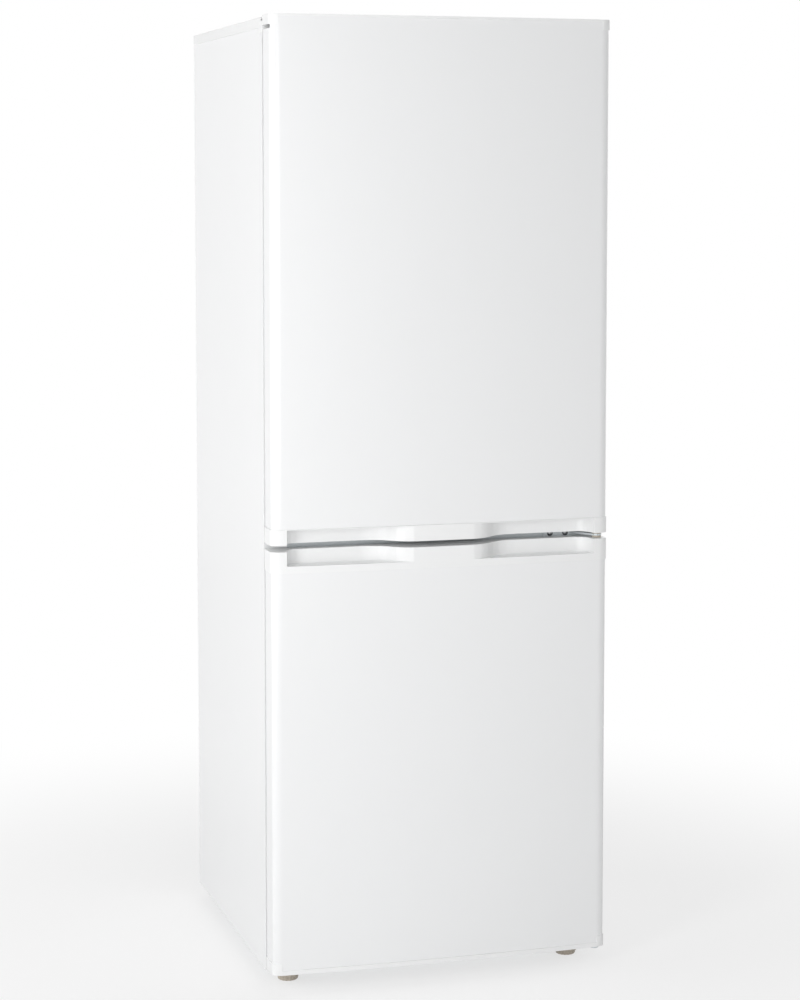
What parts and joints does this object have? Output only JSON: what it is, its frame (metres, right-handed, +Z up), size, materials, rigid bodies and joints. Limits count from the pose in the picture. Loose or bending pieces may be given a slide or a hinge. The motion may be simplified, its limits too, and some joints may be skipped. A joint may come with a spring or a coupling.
{
  "type": "bottom freezer refrigerator",
  "caption": "Free-standing refrigerator over a freezer, with scooped finger grips where its doors meet, glass shelves, drawers and door balconies inside, and a wire condenser behind.",
  "frame": {"origin": "on the floor, under the middle of the whole outline", "axes": "+Z up, the doors face -Y, +X to the right of a person who faces the doors"},
  "size_m": [0.553, 0.6, 1.52],
  "materials": {
    "enamel": "gloss",
    "white_moulding": "satin",
    "lining": "satin",
    "insulation": "matte",
    "gasket": "matte",
    "clear_plastic": "gloss",
    "shelf_glass": "polished",
    "lamp_glass": "polished",
    "zinc_steel": "satin",
    "bright_steel": "polished",
    "black_enamel": "satin",
    "white_wire": "satin",
    "copper": "satin",
    "black_rubber": "matte",
    "black_plastic": "matte",
    "grey_plastic": "matte"
  },
  "bodies": {
    "cabinet": {"outer_wrapper": "enamel", "insulation_foam": "insulation", "fridge_liner": "lining", "freezer_liner": "lining", "mullion_rail": "zinc_steel", "front_rail": "zinc_steel", "bottom_plate": "zinc_steel", "back_panel": "zinc_steel", "top_cover": "white_moulding", "hinge_blank_cover": "white_moulding", "top_hinge": "zinc_steel", "middle_hinge": "zinc_steel", "bottom_hinge": "zinc_steel", "hinge_pins": "bright_steel", "hinge_screws": "bright_steel", "hinge_washers": "grey_plastic", "glass_shelves": "shelf_glass", "shelf_trims": "lining", "thermostat_housing": "lining", "lamp": "lamp_glass", "lamp_cover": "lamp_glass", "evaporator_shelves": "white_wire", "compressor_deck": "zinc_steel", "roller_axles": "bright_steel", "compressor": "black_enamel", "compressor_mounts": "black_rubber", "relay_cover": "black_plastic", "evaporation_tray": "black_plastic", "drain_spout": "black_plastic", "condenser": "black_enamel", "condenser_brackets": "black_plastic", "filter_drier": "copper", "refrigerant_pipes": "copper", "cord_gland": "black_rubber"},
    "fridge_door": {"fridge_door_handle_cap": "white_moulding", "fridge_door_top_cap": "white_moulding", "fridge_door_skin": "enamel", "fridge_door_bushes": "grey_plastic", "fridge_door_liner": "lining", "fridge_door_foam": "insulation", "fridge_door_gasket": "gasket", "door_balconies": "clear_plastic", "bottle_balcony": "clear_plastic"},
    "freezer_door": {"freezer_door_handle_cap": "white_moulding", "freezer_door_bottom_cap": "white_moulding", "freezer_door_skin": "enamel", "freezer_door_bushes": "grey_plastic", "freezer_door_liner": "lining", "freezer_door_foam": "insulation", "freezer_door_gasket": "gasket"},
    "crisper_drawer": {"crisper_drawer": "clear_plastic"},
    "freezer_drawer_lower": {"freezer_drawer_lower": "clear_plastic"},
    "freezer_drawer_middle": {"freezer_drawer_middle": "clear_plastic"},
    "freezer_drawer_upper": {"freezer_drawer_upper": "clear_plastic"},
    "thermostat_knob": {"thermostat_knob": "lining"},
    "switch_plunger": {"switch_plunger": "lining"},
    "front_left_foot": {"front_left_foot": "grey_plastic"},
    "front_right_foot": {"front_right_foot": "grey_plastic"},
    "rear_left_roller": {"rear_left_roller": "grey_plastic"},
    "rear_right_roller": {"rear_right_roller": "grey_plastic"}
  },
  "joints": [
    {"name": "fridge_door_hinge", "type": "hinge", "parent": "cabinet", "child": "fridge_door", "pos_m": [0.264, -0.273, 1.1], "axis": [0, 0, 1], "range_deg": [0, 110]},
    {"name": "freezer_door_hinge", "type": "hinge", "parent": "cabinet", "child": "freezer_door", "pos_m": [0.264, -0.273, 0.36], "axis": [0, 0, 1], "range_deg": [0, 110]},
    {"name": "crisper_slide", "type": "slide", "parent": "cabinet", "child": "crisper_drawer", "axis": [0, -1, 0], "range_m": [0, 0.175]},
    {"name": "freezer_drawer_lower_slide", "type": "slide", "parent": "cabinet", "child": "freezer_drawer_lower", "axis": [0, -1, 0], "range_m": [0, 0.155]},
    {"name": "freezer_drawer_middle_slide", "type": "slide", "parent": "cabinet", "child": "freezer_drawer_middle", "axis": [0, -1, 0], "range_m": [0, 0.155]},
    {"name": "freezer_drawer_upper_slide", "type": "slide", "parent": "cabinet", "child": "freezer_drawer_upper", "axis": [0, -1, 0], "range_m": [0, 0.155]},
    {"name": "thermostat_knob_turn", "type": "hinge", "parent": "cabinet", "child": "thermostat_knob", "pos_m": [0.062, -0.14, 1.443], "axis": [0, -1, 0], "range_deg": [0, 270]},
    {"name": "switch_plunger_slide", "type": "slide", "parent": "cabinet", "child": "switch_plunger", "axis": [0, -1, 0], "range_m": [0, 0.006]},
    {"name": "front_left_foot_turn", "type": "hinge", "parent": "cabinet", "child": "front_left_foot", "pos_m": [-0.235, -0.218, 0.02], "axis": [0, 0, 1], "continuous": true},
    {"name": "front_right_foot_turn", "type": "hinge", "parent": "cabinet", "child": "front_right_foot", "pos_m": [0.235, -0.218, 0.02], "axis": [0, 0, 1], "continuous": true},
    {"name": "rear_left_roller_turn", "type": "hinge", "parent": "cabinet", "child": "rear_left_roller", "pos_m": [-0.24, 0.245, 0.02], "axis": [1, 0, 0], "continuous": true},
    {"name": "rear_right_roller_turn", "type": "hinge", "parent": "cabinet", "child": "rear_right_roller", "pos_m": [0.24, 0.245, 0.02], "axis": [1, 0, 0], "continuous": true}
  ],
  "couplings": [
    {"joint": "crisper_slide", "follows": "fridge_door_hinge", "m_per_rad": 0.09},
    {"joint": "switch_plunger_slide", "follows": "fridge_door_hinge", "m_per_rad": 0.003},
    {"joint": "freezer_drawer_lower_slide", "follows": "freezer_door_hinge", "m_per_rad": 0.08},
    {"joint": "freezer_drawer_middle_slide", "follows": "freezer_door_hinge", "m_per_rad": 0.08},
    {"joint": "freezer_drawer_upper_slide", "follows": "freezer_door_hinge", "m_per_rad": 0.08}
  ]
}
